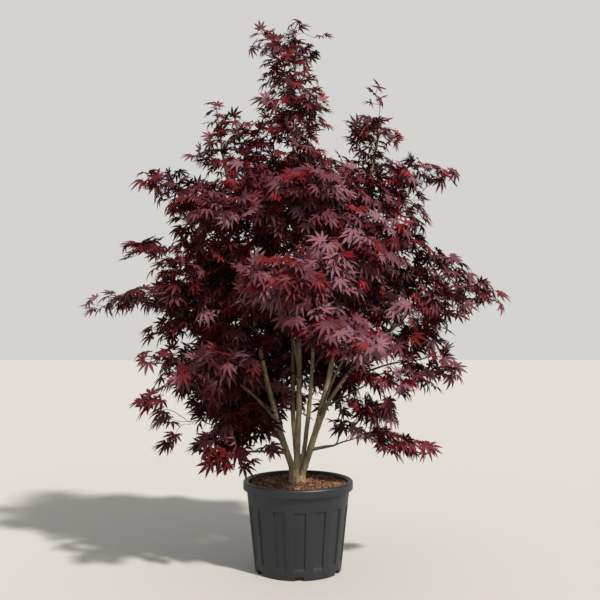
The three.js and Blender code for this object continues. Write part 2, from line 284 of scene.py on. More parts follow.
class Shell:
    """Points and faces gathered for one mesh. Each face has a kind, which picks its material."""

    def __init__(self):
        self.points = []
        self.faces = []
        self.kinds = []
        self.count = 0

    def add(self, points, faces, kind=0):
        """Adds points with one or more arrays of faces that number them from 0."""
        for group in faces:
            self.faces.append(np.asarray(group) + self.count)
            self.kinds.append(np.broadcast_to(kind, len(group)))
        self.points.append(np.asarray(points, float))
        self.count += len(points)

    def piece(self, name, materials, smooth=True):
        mesh = bpy.data.meshes.new(name)
        points = np.concatenate(self.points)
        sizes = np.concatenate([np.full(len(group), group.shape[1]) for group in self.faces])
        corners = np.concatenate([group.ravel() for group in self.faces])
        mesh.vertices.add(len(points))
        mesh.vertices.foreach_set("co", points.ravel())
        mesh.loops.add(len(corners))
        mesh.loops.foreach_set("vertex_index", corners.astype(np.int32))
        mesh.polygons.add(len(sizes))
        mesh.polygons.foreach_set("loop_start", (np.cumsum(sizes) - sizes).astype(np.int32))
        for material in materials:
            mesh.materials.append(material)
        mesh.polygons.foreach_set("material_index", np.concatenate(self.kinds).astype(np.int32))
        mesh.polygons.foreach_set("use_smooth", np.full(len(sizes), smooth))
        mesh.update(calc_edges=True)
        mesh.validate()
        return linked(name, mesh)


def linked(name, mesh):
    piece = bpy.data.objects.new(name, mesh)
    bpy.context.scene.collection.objects.link(piece)
    return piece


def points_of(mesh):
    points = np.zeros(len(mesh.vertices) * 3)
    mesh.vertices.foreach_get("co", points)
    return points.reshape(-1, 3)


def unit(vectors):
    return vectors / np.maximum(np.linalg.norm(vectors, axis=-1, keepdims=True), 1e-9)


def ramp(value, low, high):
    """0 where the value is low or less, 1 where it is high or more, and even between."""
    return min(1.0, max(0.0, (value - low) / (high - low)))


def with_modifier(piece, kind, **settings):
    """Applies one modifier to a piece's mesh."""
    modifier = piece.modifiers.new(kind.lower(), kind)
    for key, value in settings.items():
        setattr(modifier, key, value)
    graph = bpy.context.evaluated_depsgraph_get()
    mesh = bpy.data.meshes.new_from_object(piece.evaluated_get(graph))
    piece.modifiers.clear()
    piece.data = mesh
    return piece


def welded(piece):
    """Joins the points that coincide, and turns every face outwards."""
    mesh = bmesh.new()
    mesh.from_mesh(piece.data)
    bmesh.ops.remove_doubles(mesh, verts=mesh.verts, dist=0.01 * MM)
    bmesh.ops.recalc_face_normals(mesh, faces=mesh.faces)
    mesh.to_mesh(piece.data)
    mesh.free()
    return piece


def ring_quads(rows, columns):
    """Faces between rows of points that each run all the way round."""
    at = np.arange(rows * columns).reshape(rows, columns)
    after = np.roll(at, -1, 1)
    return np.stack([at[:-1], after[:-1], after[1:], at[1:]], -1).reshape(-1, 4)


def tube(line, radii, sides):
    """Points and faces of a round limb along a line, with rounded ends."""
    line = np.asarray(line)
    along = unit(np.gradient(line, axis=0))
    side = unit(np.cross(along[0], [0.3, 1.0, 0.2]))
    turn = np.arange(sides) * 2 * math.pi / sides
    rings = []
    for point, ahead, radius in zip(line, along, radii):
        side = unit(side - ahead * side.dot(ahead))
        other = np.cross(ahead, side)
        rings.append(point + radius * (np.outer(np.cos(turn), side) + np.outer(np.sin(turn), other)))
    ends = [line[0] - along[0] * radii[0] * 0.6, line[-1] + along[-1] * radii[-1] * 0.8]
    points = np.concatenate(rings + [np.array(ends)])
    ring = np.arange(sides)
    after = (ring + 1) % sides
    start = np.arange(len(line) - 1)[:, None] * sides
    quads = np.stack([start + ring, start + after, start + after + sides, start + ring + sides], -1)
    first, last = len(rings) * sides, len(rings) * sides + 1
    top = (len(rings) - 1) * sides
    foot_fan = np.stack([np.full(sides, first), after, ring], -1)
    tip_fan = np.stack([np.full(sides, last), top + ring, top + after], -1)
    return points, [quads.reshape(-1, 4), foot_fan, tip_fan]


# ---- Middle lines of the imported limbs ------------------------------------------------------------

FORK = np.array([0.0, 0.0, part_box("trunk")[1].z])
SLICE_STEP = 45 * MM
BOUGH_CUT = 24 * MM  # a limb's lower end is cut aslant, so its slices start this far up
STEM_CUT = 75 * MM
LINE_STEP = 9 * MM
WANDER = 2.2 * MM  # how far a limb's line strays from an even curve


def sliced(node, skipped):
    """Points along the middle of a limb's solid and its radius there, from the end near the fork. The
    radius never grows on the way, because every limb tapers."""
    mesh = NODES[node].data
    points = points_of(mesh)
    edges = np.array([edge.vertices[:] for edge in mesh.edges])
    middle = points.mean(0)
    axis = np.linalg.svd(points - middle, full_matrices=False)[2][0]
    along = (points - middle) @ axis
    low, high = points[along.argmin()], points[along.argmax()]
    if np.linalg.norm(high - FORK) < np.linalg.norm(low - FORK):
        along = -along
    count = max(4, round(np.ptp(along) / SLICE_STEP))
    line, radii = [], []
    for cut in np.linspace(along.min() + skipped, along.max() - 3 * MM, count):
        a, b = along[edges[:, 0]], along[edges[:, 1]]
        crossed = (a - cut) * (b - cut) < 0
        share = ((cut - a) / np.where(a == b, 1.0, b - a))[crossed, None]
        ring = points[edges[crossed, 0]] * (1 - share) + points[edges[crossed, 1]] * share
        if len(ring):
            line.append((ring.min(0) + ring.max(0)) / 2)
            radii.append(np.linalg.norm(ring - line[-1], axis=1).mean())
    return np.array(line), np.maximum.accumulate(radii[::-1])[::-1]


def smoothed(line, radii, step=LINE_STEP, passes=14):
    """The same line in short even steps, with its corners rounded and its ends kept."""
    lengths = np.r_[0, np.cumsum(np.linalg.norm(np.diff(line, axis=0), axis=1))]
    even = np.linspace(0, lengths[-1], max(5, round(lengths[-1] / step)))
    fine = np.stack([np.interp(even, lengths, line[:, i]) for i in range(3)], 1)
    thick = np.interp(even, lengths, radii)
    for _ in range(passes):
        fine[1:-1] = (fine[:-2] + 2 * fine[1:-1] + fine[2:]) / 4
        thick[1:-1] = (thick[:-2] + 2 * thick[1:-1] + thick[2:]) / 4
    return fine, thick


def wandering(line, seed):
    """The line, straying a little to the sides as wood that has grown does."""
    stray = [noise.noise_vector(Vector(point) * 9 + Vector((seed, 0, 0))) for point in line]
    fade = np.minimum(1, np.arange(len(line)) / 12)[:, None]
    return line + np.array(stray) * WANDER * fade


def limb_lines():
    lines = {}
    for seed, name in enumerate(STEMS + BOUGHS):
        skipped = STEM_CUT if name in STEMS else BOUGH_CUT
        line, radii = sliced(name, skipped)
        back = skipped + (10 * MM if name in BOUGHS else 0)
        line = np.vstack([line[0] - unit(line[1] - line[0]) * back, line])
        radii = np.r_[radii[0], radii]
        fine, thick = smoothed(line, radii)
        lines[name] = (wandering(fine, seed * 7.3), thick)
    return lines


LIMBS = limb_lines()


# ---- Bark: trunk, stems and boughs ---------------------------------------------------------------

TRUNK_SINK = 12 * MM  # how far the trunk goes down into the mulch
FUSED_RISE = 190 * MM  # above the fork, where the fused foot hands over to single limbs
VOXEL = 2.2 * MM
ROOT_FLARES = 7
FLARE_REACH = (36 * MM, 50 * MM)
STRAND_STEPS = 6  # between a stem's foot and the soil


def bark_relief(points, normals):
    """Points moved in and out by upright ridges, low lumps and the rings that old leaf scars leave."""
    moved = np.array(points)
    for i, (x, y, z) in enumerate(points):
        ridge = noise.noise(Vector((x * 190, y * 190, z * 16)))
        lump = noise.noise(Vector((x * 34, y * 34, z * 20)))
        ring = max(0.0, math.sin(z * 88 + 5 * x) - 0.93) * 9
        moved[i] += normals[i] * (0.55 * ridge + 0.9 * lump + ring) * MM
    return moved


def relieve(piece):
    mesh = piece.data
    points = points_of(mesh)
    normals = np.array([vertex.normal[:] for vertex in mesh.vertices])
    mesh.vertices.foreach_set("co", bark_relief(points, normals).ravel())
    mesh.polygons.foreach_set("use_smooth", np.ones(len(mesh.polygons), bool))
    mesh.update()


def trunk_strands(soil):
    """The foot of each stem, led down to the soil and drawn in towards the middle."""
    strands = []
    for name in STEMS:
        line, radii = LIMBS[name]
        if line[0][2] > FORK[2] + 40 * MM:
            continue
        lower = line[:, 2] < FORK[2] + FUSED_RISE
        line, radii = line[lower], radii[lower]
        steps = np.arange(STRAND_STEPS)[:, None] / STRAND_STEPS
        foot = np.array([line[0][0] * 0.78, line[0][1] * 0.78, soil - TRUNK_SINK])
        down = foot * (1 - steps) + line[0] * steps
        swell = 1 + 0.42 * (1 - steps[:, 0]) ** 2
        strands.append((np.vstack([down, line]), np.r_[radii[0] * swell, radii]))
    return strands


def root_flares(soil):
    """Low ridges where the roots leave the trunk and dive into the mulch."""
    for i in range(ROOT_FLARES):
        bearing = i * 2 * math.pi / ROOT_FLARES + RNG.uniform(-0.25, 0.25)
        out = np.array([math.cos(bearing), math.sin(bearing), 0.0])
        reach = RNG.uniform(*FLARE_REACH)
        share = np.linspace(0, 1, 6)[:, None]
        line = out * (10 * MM + (reach - 10 * MM) * share)
        line = line + UP * (soil + 22 * MM - 36 * MM * share**0.7)
        yield line, np.linspace(11, 5, 6) * MM


def build_bark():
    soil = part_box("trunk")[0].z
    foot = Shell()
    for line, radii in [*trunk_strands(soil), *root_flares(soil)]:
        foot.add(*tube(line, radii, 12))
    fused = foot.piece("trunk_foot", [])
    with_modifier(fused, "REMESH", mode="VOXEL", voxel_size=VOXEL)
    with_modifier(fused, "SMOOTH", factor=0.5, iterations=5)
    relieve(fused)

    stems = limb_tubes(STEMS)
    relieve(stems)
    finish = bark_finish("olive bark", linear(112, 99, 72), linear(168, 146, 112))
    bark = joined("bark", [fused, stems], finish)
    twiggy = bark_finish("bough bark", linear(74, 58, 40), linear(112, 92, 66))
    boughs = limb_tubes(BOUGHS)
    relieve(boughs)
    boughs = joined("bough_bark", [boughs], twiggy)
    for piece in (bark, boughs):
        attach(piece, "root")
    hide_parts("trunk", *STEMS)
    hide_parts(*BOUGHS)


def limb_tubes(names):
    """Round tubes along some limbs: boughs with a collar at their foot, and stems that are drawn in
    where the fused foot covers them."""
    limbs = Shell()
    for name in names:
        line, radii = LIMBS[name]
        collar = 1 + 0.35 * np.exp(-np.arange(len(line)) * LINE_STEP / (16 * MM))
        if name in STEMS:
            collar = np.where(line[:, 2] < FORK[2] + FUSED_RISE - 12 * MM, 0.9, 1.0)
        limbs.add(*tube(line, radii * collar, 10))
    return limbs.piece("limbs", [])


def joined(name, parts, finish):
    """One piece of several pieces' meshes."""
    whole = Shell()
    for part in parts:
        faces = [face.vertices[:] for face in part.data.polygons]
        by_size = [np.array([face for face in faces if len(face) == size]) for size in (3, 4)]
        whole.add(points_of(part.data), [group for group in by_size if len(group)])
        bpy.data.objects.remove(part)
    return whole.piece(name, [finish])


# ---- Shoots --------------------------------------------------------------------------------------

GROWTH = {
    "step": 22 * MM,  # between two nodes of a shoot
    "reached": 26 * MM,  # a target this near is reached
    "inertia": 0.5,  # how far a shoot keeps its heading
    "jitter": 0.16,
    "most_steps": 60,
    "root_spacing": 45 * MM,  # between places on a limb where shoots may start
    "root_reach": 260 * MM,  # a limb this far from a mass may feed it
}
SPACING = {  # between targets
    "outer": 23 * MM,  # near the crown's outside
    "buried": 34 * MM,
    "airy": 34 * MM,  # in the top and the skirts of the crown
}
SAMPLE = 18 * MM  # the average gap between the points tried
CREVICE = 52 * MM  # a gap between two masses is filled up to this far from each
SLIT = 12 * MM  # a gap narrower than this is filled even at the crown's outside
BURIED = 110 * MM  # a point is buried when the crown goes on this far beyond it
SKIN = 44 * MM  # the shoots' ends stay this far inside the mass, so that leaves reach its outline
TIP_SKIN = 20 * MM  # and this far from its outer end
LEADER_SKIN = 34 * MM  # how far from the outer end the mass's leading shoot stops
HEART = np.array([0.0, 0.0, 0.85])  # the middle of the crown's foot, from which the masses lead away
TIP_RADIUS = 0.75 * MM
MOST_RADIUS = 4.5 * MM
HAND_OVER = 0.86  # how much of its thickness a limb keeps at each step beyond its end
PIPE_POWER = 2.35  # a shoot's radius to this power is the sum of its branches'
THICKENING = 1.012  # how much thicker a shoot is at each node towards its foot
MOST_TARGETS = 20000
DEPTH_SAMPLES = 300  # the points tried to find how thick a mass is


class Mass:
    """One packed mass of foliage, as a space for shoots to fill."""

    def __init__(self, name):
        self.name = name
        mesh = NODES[name].data
        self.points = points_of(mesh)
        faces = [face.vertices[:] for face in mesh.polygons]
        self.tree = BVHTree.FromPolygons([Vector(point) for point in self.points], faces)
        self.low, self.high = self.points.min(0), self.points.max(0)
        self.middle = (self.low + self.high) / 2
        self.bough = name.replace("_foliage", "_bough")
        samples = RNG.uniform(self.low, self.high, (DEPTH_SAMPLES, 3))
        self.thick = max(self.depth(point) for point in samples)

    def depth(self, point):
        """How far inside the surface a point lies, or less than 0 outside."""
        near, normal, _, gap = self.tree.find_nearest(Vector(point))
        return gap if (Vector(point) - near).dot(normal) < 0 else -gap

    def leaders(self):
        """Points along the mass's own leading shoot, which reaches its furthest end."""
        axis = np.linalg.svd(self.points - self.middle, full_matrices=False)[2][0]
        axis = axis * math.copysign(1.0, (self.middle - HEART).dot(axis))
        far = self.points[((self.points - self.middle) @ axis).argmax()]
        end = far + unit(self.middle - far) * LEADER_SKIN
        return np.linspace(self.middle, end, 4)[1:]

    def roots(self):
        """Where shoots may start, on the mass's own bough or on the limbs near it: places, headings
        and the limb's radius where it ends, or 0 along its sides."""
        limbs = [self.bough] if self.bough in LIMBS else list(LIMBS)
        every = round(GROWTH["root_spacing"] / LINE_STEP)
        for limb in limbs:
            line, radii = LIMBS[limb]
            ahead = unit(np.gradient(line, axis=0))
            for i in range(len(line) - 1, -1, -every):
                near = max(0.0, -self.depth(line[i])) < GROWTH["root_reach"]
                late = i > 0.15 * len(line) if limb == self.bough else True
                if near and late:
                    yield line[i], ahead[i], radii[i] if i == len(line) - 1 else 0.0


class Crown:
    """All the masses together."""

    def __init__(self, masses):
        self.masses = masses
        self.low = np.array([mass.low for mass in masses])
        self.high = np.array([mass.high for mass in masses])

    def depths(self, point):
        """How deep a point lies in each mass near it, with the mass's number, the deepest first."""
        near = ((point > self.low - CREVICE) & (point < self.high + CREVICE)).all(1)
        return sorted(((self.masses[i].depth(point), i) for i in np.flatnonzero(near)), reverse=True)

    def buried(self, point):
        """Whether the crown goes on beyond the point."""
        outward = unit(np.array([point[0], point[1], 0.25]))
        beyond = self.depths(point + outward * BURIED)
        return bool(beyond) and beyond[0][0] > 0

    def spacing(self, point):
        """How far apart shoots end: widest in the airy top and skirts of the crown."""
        if self.buried(point):
            return SPACING["buried"]
        rise = ramp(point[2], 1.3, 1.7)
        sink = 1.0 - ramp(point[2], 0.55, 0.8)
        spread = ramp(math.hypot(point[0], point[1]), 0.36, 0.56)
        airy = max(rise, sink, spread)
        return SPACING["outer"] + (SPACING["airy"] - SPACING["outer"]) * airy

    def targets(self):
        """For each mass, its leaders and points spread through it and its crevices."""
        kept = np.zeros((MOST_TARGETS, 3))
        owner = []
        for number, mass in enumerate(self.masses):
            low, high = mass.low - CREVICE, mass.high + CREVICE
            tries = round(np.prod(high - low) / SAMPLE**3)
            skin = min(SKIN, 0.7 * mass.thick)
            for point in RNG.uniform(low, high, (tries, 3)):
                depths = self.depths(point)
                if not depths or depths[0][1] != number:
                    continue
                gap = -depths[1][0] if len(depths) > 1 else CREVICE
                crevice = gap < CREVICE and (gap < SLIT or self.buried(point))
                outward = unit(point * LEVEL) * min(TIP_SKIN, 0.7 * mass.thick)
                inside = depths[0][0] > skin and mass.depth(point + outward) > 0
                if not inside and not crevice:
                    continue
                count = len(owner)
                near = np.linalg.norm(kept[:count] - point, axis=1).min() if count else 1.0
                if near < SPACING["airy"] and near < self.spacing(point):
                    continue
                kept[count] = point
                owner.append(number)
        owner = np.array(owner)
        spread = [kept[: len(owner)][owner == number] for number in range(len(self.masses))]
        return [np.vstack([mass.leaders(), points]) for mass, points in zip(self.masses, spread)]


class Shoots:
    """Every node of every shoot: its place, its parent, and the mass that it grew in."""

    def __init__(self):
        self.place = []
        self.parent = []
        self.heading = []
        self.mass = []
        self.limb_end = {}

    def add(self, place, parent, heading, mass):
        self.place.append(place)
        self.parent.append(parent)
        self.heading.append(heading)
        self.mass.append(mass)

    def grow(self, number, mass, targets):
        """Grows shoots from the mass's roots: each target pulls at the node nearest to it."""
        first = len(self.place)
        for place, heading, radius in mass.roots():
            if radius:
                self.limb_end[len(self.place)] = radius
            self.add(place, -1, heading, number)
        for _ in range(GROWTH["most_steps"]):
            nodes = np.array(self.place[first:])
            gaps = np.linalg.norm(targets[:, None] - nodes[None], axis=2)
            open_still = gaps.min(1) > GROWTH["reached"]
            targets, gaps = targets[open_still], gaps[open_still]
            if not len(targets):
                return
            nearest = gaps.argmin(1)
            for node in np.unique(nearest):
                pull = unit(targets[nearest == node] - nodes[node]).mean(0)
                heading = pull + GROWTH["inertia"] * self.heading[first + node]
                heading = unit(heading + RNG.normal(0, GROWTH["jitter"], 3))
                place = nodes[node] + heading * GROWTH["step"]
                if np.linalg.norm(nodes - place, axis=1).min() > 0.5 * GROWTH["step"]:
                    self.add(place, first + node, heading, number)

    def finish(self):
        """Works out the radius of each node, and how many steps it is from a tip."""
        count = len(self.place)
        self.place = np.array(self.place)
        self.parent = np.array(self.parent)
        self.heading = np.array(self.heading)
        self.mass = np.array(self.mass)
        self.children = [[] for _ in range(count)]
        for node, parent in enumerate(self.parent):
            if parent >= 0:
                self.children[parent].append(node)
        self.ahead = np.zeros(count, int)
        self.radius = np.full(count, TIP_RADIUS)
        for node in range(count - 1, -1, -1):
            below = self.children[node]
            if below:
                self.ahead[node] = 1 + min(self.ahead[child] for child in below)
                flow = sum(self.radius[child] ** PIPE_POWER for child in below)
                self.radius[node] = min(THICKENING * flow ** (1 / PIPE_POWER), MOST_RADIUS)
        for node, radius in self.limb_end.items():
            self.hand_over(node, radius)

    def hand_over(self, node, radius):
        """Lets the thickest shoot at a limb's end start as thick as the limb, and taper from there."""
        while radius > self.radius[node]:
            self.radius[node] = radius
            if not self.children[node]:
                return
            node = max(self.children[node], key=lambda child: self.radius[child])
            radius *= HAND_OVER

    def runs(self):
        """Unbroken runs of nodes, each from a fork to a tip along its thickest branch."""
        roots = np.flatnonzero(self.parent < 0)
        stack = [(node, child) for node in roots for child in self.children[node]]
        while stack:
            node, child = stack.pop()
            run = [node, child]
            while self.children[run[-1]]:
                branches = sorted(self.children[run[-1]], key=lambda branch: -self.radius[branch])
                stack.extend((run[-1], branch) for branch in branches[1:])
                run.append(branches[0])
            yield run


def grow_shoots(masses):
    shoots = Shoots()
    for number, targets in enumerate(Crown(masses).targets()):
        shoots.grow(number, masses[number], targets)
    shoots.finish()
    return shoots


TWIG_TINTS = {
    "old twig": linear(92, 74, 52),
    "red twig": linear(82, 44, 34),
    "young shoot": linear(96, 26, 26),
}
OLD_TWIG = 2.6 * MM  # the radius above which a shoot has old bark
RED_TWIG = 1.3 * MM


def build_twigs(shoots):
    twigs = Shell()
    for run in shoots.runs():
        line = shoots.place[run]
        radii = shoots.radius[run].copy()
        radii[0] = min(radii[0], 1.15 * radii[1])
        kind = 0 if radii[0] > OLD_TWIG else 1 if radii[0] > RED_TWIG else 2
        twigs.add(*tube(line, radii, 5 if kind < 2 else 4), kind)
    tints = [plain_finish(name, colour, 0.6) for name, colour in TWIG_TINTS.items()]
    piece = twigs.piece("twigs", tints)
    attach(piece, "root")


# ---- Leaves --------------------------------------------------------------------------------------

# A leaf's lobes: the angle of each from the middle one, and its length as a share of that one's.
LOBES = [(-112, 0.40), (-72, 0.72), (-35, 0.93), (0, 1.0), (35, 0.93), (72, 0.72), (112, 0.40)]
LEAF = {
    "length": 60 * MM,  # of the middle lobe
    "notch": 0.27,  # how far out the lobes part
    "notch_lift": 0.05,
    "foot_notch": 0.5,  # how far out the first and last lobes begin, as a share of the notch
    "foot_turn": 0.35,  # and how far round from those lobes
    "belly": 0.52,  # where a lobe is widest, as a share of its length
    "half_width": 0.112,
    "shoulder": 0.78,  # where a lobe has narrowed towards its drawn-out tip
    "shoulder_width": 0.062,
    "keel": 0.55,  # how far a lobe's edges stand up from its midrib, as a share of its width
    "droop": 0.38,
}
VARIANTS = 10
OVERHANG = 20 * MM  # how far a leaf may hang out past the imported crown's furthest points
LEAF_LIMITS = np.array(CAD_BOX) + np.array([[-OVERHANG], [OVERHANG]])
PETIOLE = {"length": 27 * MM, "radius": 0.55 * MM}
PIECE_LEAVES = 2300  # the most leaves in one piece


def leaf_blade(droop, spread, keel):
    """Points and triangles of one leaf. Its foot is at 0, its middle lobe runs along +X, and +Z is up."""
    points = [(0.0, 0.0, 0.0)]
    faces = []

    def add(radius, angle, lift=0.0):
        x, y = radius * math.cos(angle), radius * math.sin(angle)
        z = lift - droop * radius * radius
        points.append((x, y, z))
        return len(points) - 1

    angles = [math.radians(angle * spread) for angle, _ in LOBES]
    notches = []
    for i in range(len(LOBES) + 1):
        before = angles[max(i - 1, 0)]
        after = angles[min(i, len(angles) - 1)]
        angle = (before + after) / 2
        radius = LEAF["notch"]
        if i in (0, len(LOBES)):
            radius *= LEAF["foot_notch"]
            angle += math.copysign(LEAF["foot_turn"], angle)
        notches.append(add(radius, angle, LEAF["notch_lift"] * keel))
    for i, (_, share) in enumerate(LOBES):
        angle = angles[i]
        belly = share * LEAF["belly"]
        shoulder = share * LEAF["shoulder"]
        scale = 0.55 + 0.45 * share
        mid = add(belly, angle)
        far = add(shoulder, angle)
        tip = add(share, angle)
        for side, notch in ((-1, notches[i]), (1, notches[i + 1])):
            wide = LEAF["half_width"] * scale
            narrow = LEAF["shoulder_width"] * scale
            turn = side * math.atan2(wide, belly)
            edge = add(math.hypot(belly, wide), angle + turn, keel * wide)
            turn = side * math.atan2(narrow, shoulder)
            neck = add(math.hypot(shoulder, narrow), angle + turn, keel * narrow)
            half = [(0, notch, edge), (0, edge, mid), (mid, edge, neck)]
            half += [(mid, neck, far), (far, neck, tip)]
            faces += [face if side < 0 else face[::-1] for face in half]
    return np.array(points) * LEAF["length"], np.array(faces)


def leaf_variants():
    blades = []
    for _ in range(VARIANTS):
        droop = LEAF["droop"] * RNG.uniform(-0.3, 1.8)
        keel = LEAF["keel"] * RNG.uniform(0.4, 1.5)
        points, faces = leaf_blade(droop, RNG.uniform(0.84, 1.04), keel)
        twist = RNG.uniform(-0.18, 0.18)
        points[:, 2] += twist * points[:, 0] * points[:, 1] / LEAF["length"]
        blades.append((points, faces))
    return blades


# Leaf tints. Each spray has one, and the young pair at its end may be crimson. Near black and oxblood
# partly stand for painted shade, and mauve and plum partly for a painted sheen of the sky on the
# leaves' waxy faces, because tint_weights deals them out by the side that the light falls on.
TINTS = {
    "leaf near black painted shade": linear(50, 13, 17),
    "leaf oxblood": linear(76, 17, 21),
    "leaf wine": linear(85, 25, 30),
    "leaf ember": linear(90, 26, 20),
    "leaf plum": linear(90, 46, 54),
    "leaf mauve painted sheen": linear(114, 75, 85),
    "leaf crimson": linear(106, 11, 16),
    "leaf petiole": linear(120, 30, 30),
}
CRIMSON = list(TINTS).index("leaf crimson")
SUNWARD = unit(np.array([0.45, -0.8, 0.75]))

# How a blade is turned: the pulls on the way its upper side faces, and on the way its middle lobe
# points. It droops low in the crown, and is perked up in the top.
FACING = {"outward": 0.42, "up": 0.7, "sunward": 0.3, "stray": 0.44}
POINTING = {"reach": 0.9, "outward": 0.4, "droop": 0.55, "perk": 0.75, "stray": 0.34}


def tint_weights(height, sunny, buried):
    """How likely each of the first six tints is for a spray, by its height in the tree, by how far it
    lies towards the sunny side, and by whether it is buried in the crown. This paints light and shade
    into the leaves: mauve and plum are likelier on the sunny side, as a painted sheen, and near black
    and oxblood are likelier on the shaded side, as painted shade, with near black likelier still deep in
    the crown."""
    # sunny and shade choose between the painted sheen and painted shade among the tints below
    shade = 1 - sunny
    weights = [
        0.3 + 0.6 * shade + 0.8 * buried,
        0.6 + 0.6 * shade + 0.5 * height,
        0.5 + 0.5 * height,
        0.03 + 0.3 * buried,
        0.8 + 0.7 * sunny,
        (0.25 + 1.5 * sunny) * (1 - 0.6 * height) * (1 - 0.7 * buried),
    ]
    return np.array(weights) / sum(weights)


class Sprays:
    """The leaves of the whole tree: where each hangs, how it is turned, its size and its tint."""

    def __init__(self):
        self.start = []
        self.foot = []
        self.axes = []
        self.size = []
        self.tint = []
        self.mass = []

    def hang(self, start, reach, size, tint, mass):
        """Hangs one leaf from a twig by a petiole that reaches out to the blade's foot."""
        foot = start + reach
        outward = unit(foot * LEVEL)
        far = foot + outward * 0.8 * LEAF["length"] * size
        if (far < LEAF_LIMITS[0]).any() or (far > LEAF_LIMITS[1]).any():
            return
        facing = FACING["outward"] * outward + FACING["up"] * UP + FACING["sunward"] * SUNWARD
        facing = unit(facing + RNG.normal(0, FACING["stray"], 3))
        droop = POINTING["droop"] - POINTING["perk"] * ramp(foot[2], 1.2, 1.7)
        pointing = POINTING["reach"] * unit(reach) + POINTING["outward"] * outward - droop * UP
        pointing = pointing + RNG.normal(0, POINTING["stray"], 3)
        pointing = unit(pointing - facing * pointing.dot(facing))
        across = np.cross(facing, pointing)
        self.start.append(start)
        self.foot.append(foot)
        self.axes.append(np.stack([pointing, across, facing]))
        self.size.append(size)
        self.tint.append(tint)
        self.mass.append(mass)


PAIR_CHANCE = (1.0, 0.95, 0.65, 0.35)  # of a pair of leaves, by steps from the shoot's end


def leaf_pairs(shoots, crown):
    """Pairs of leaves on the last nodes of each shoot, each pair turned across the one before."""
    sprays = Sprays()
    spray_of = {}
    for node in range(len(shoots.place) - 1, -1, -1):
        ahead = int(shoots.ahead[node])
        if shoots.parent[node] < 0 or ahead >= len(PAIR_CHANCE):
            continue
        place, heading = shoots.place[node], shoots.heading[node]
        below = [child for child in shoots.children[node] if child in spray_of]
        spray_of[node] = spray_of[below[0]] if below else new_spray(place, crown)
        tint, young, scale = spray_of[node]
        if RNG.random() > PAIR_CHANCE[ahead]:
            continue
        if ahead == 0:
            scale *= 0.74 if young else 0.85
            tint = CRIMSON if young else tint
        flat = np.cross(heading, UP)
        flat = unit(flat if np.linalg.norm(flat) > 0.2 else RNG.normal(0, 1, 3))
        other = np.cross(flat, heading)
        turn = (ahead % 2) * 1.1 + RNG.normal(0, 0.3)
        side = flat * math.cos(turn) + other * math.sin(turn)
        for sign in (-1, 1):
            lean = sign * side * 0.85 + heading * RNG.uniform(0.35, 0.9) + UP * 0.2
            lean = lean + RNG.normal(0, 0.14, 3)
            length = PETIOLE["length"] * RNG.uniform(0.7, 1.3) * scale
            size = RNG.uniform(0.86, 1.14) * scale
            sprays.hang(place, unit(lean) * length, size, tint, shoots.mass[node])
    return sprays


def new_spray(place, crown):
    """A spray's tint, whether it ends in a young pair, and the scale of its leaves."""
    height = ramp(place[2], 0.6, 1.9)
    # How far the spray lies towards the sunny front right. With buried, this picks the tint and so paints
    # light and shade: a paler painted sheen on the sunny side, and darker painted shade on the shaded
    # side and deep in the crown.
    sunny = ramp(0.45 + 0.75 * place[0] - 0.65 * place[1], 0.0, 1.0)
    buried = crown.buried(place)
    tint = RNG.choice(6, p=tint_weights(height, sunny, buried))
    young = not buried and RNG.random() < 0.02 + 0.55 * height**1.5 + 0.1 * sunny
    return tint, young, 1.03 - 0.35 * height


def petioles(starts, feet, radius):
    """Three-sided stalks between two sets of points, as one set of points and faces."""
    along = unit(feet - starts)
    side = unit(np.cross(along, [0.31, 0.87, 0.38]))
    other = np.cross(along, side)
    rings = []
    for ends in (starts, feet):
        for turn in (0.0, 2.094, 4.189):
            rings.append(ends + radius * (side * math.cos(turn) + other * math.sin(turn)))
    points = np.stack(rings, 1).reshape(-1, 3)
    base = np.arange(len(starts))[:, None, None] * 6
    quads = np.array([[0, 1, 4, 3], [1, 2, 5, 4], [2, 0, 3, 5]]) + base
    return points, quads.reshape(-1, 4)


def leaf_piece(name, chosen, sprays, blades, materials):
    """One joined mesh of the chosen leaves."""
    shell = Shell()
    axes = np.array(sprays.axes)[chosen]
    feet = np.array(sprays.foot)[chosen]
    starts = np.array(sprays.start)[chosen]
    sizes = np.array(sprays.size)[chosen]
    tints = np.array(sprays.tint)[chosen]
    variant = RNG.integers(0, len(blades), len(chosen))
    for number, (points, faces) in enumerate(blades):
        mine = np.flatnonzero(variant == number)
        placed = np.einsum("pi,nij->npj", points, axes[mine]) * sizes[mine, None, None]
        placed += feet[mine, None]
        numbered = faces[None] + (np.arange(len(mine)) * len(points))[:, None, None]
        kinds = np.repeat(tints[mine], len(faces))
        shell.add(placed.reshape(-1, 3), [numbered.reshape(-1, 3)], kinds)
    points, quads = petioles(starts, feet, PETIOLE["radius"])
    shell.add(points, [quads], len(TINTS) - 1)
    return shell.piece(name, materials)


def build_leaves(shoots, masses):
    sprays = leaf_pairs(shoots, Crown(masses))
    blades = leaf_variants()
    materials = [
        plain_finish(name, colour, 0.52, Specular_IOR_Level=0.14) for name, colour in TINTS.items()
    ]
    owner = np.array(sprays.mass)
    group, names = [], []
    number = 1
    for i, mass in enumerate(masses):
        here = np.flatnonzero(owner == i)
        if group and sum(map(len, group)) + len(here) > PIECE_LEAVES:
            finish_leaf_piece(number, group, names, sprays, blades, materials)
            group, names = [], []
            number += 1
        group.append(here)
        names.append(mass.name)
    finish_leaf_piece(number, group, names, sprays, blades, materials)


def finish_leaf_piece(number, group, names, sprays, blades, materials):
    piece = leaf_piece(f"leaves_{number}", np.concatenate(group), sprays, blades, materials)
    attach(piece, "root")
    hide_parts(*names)


# ---- Pot -----------------------------------------------------------------------------------------

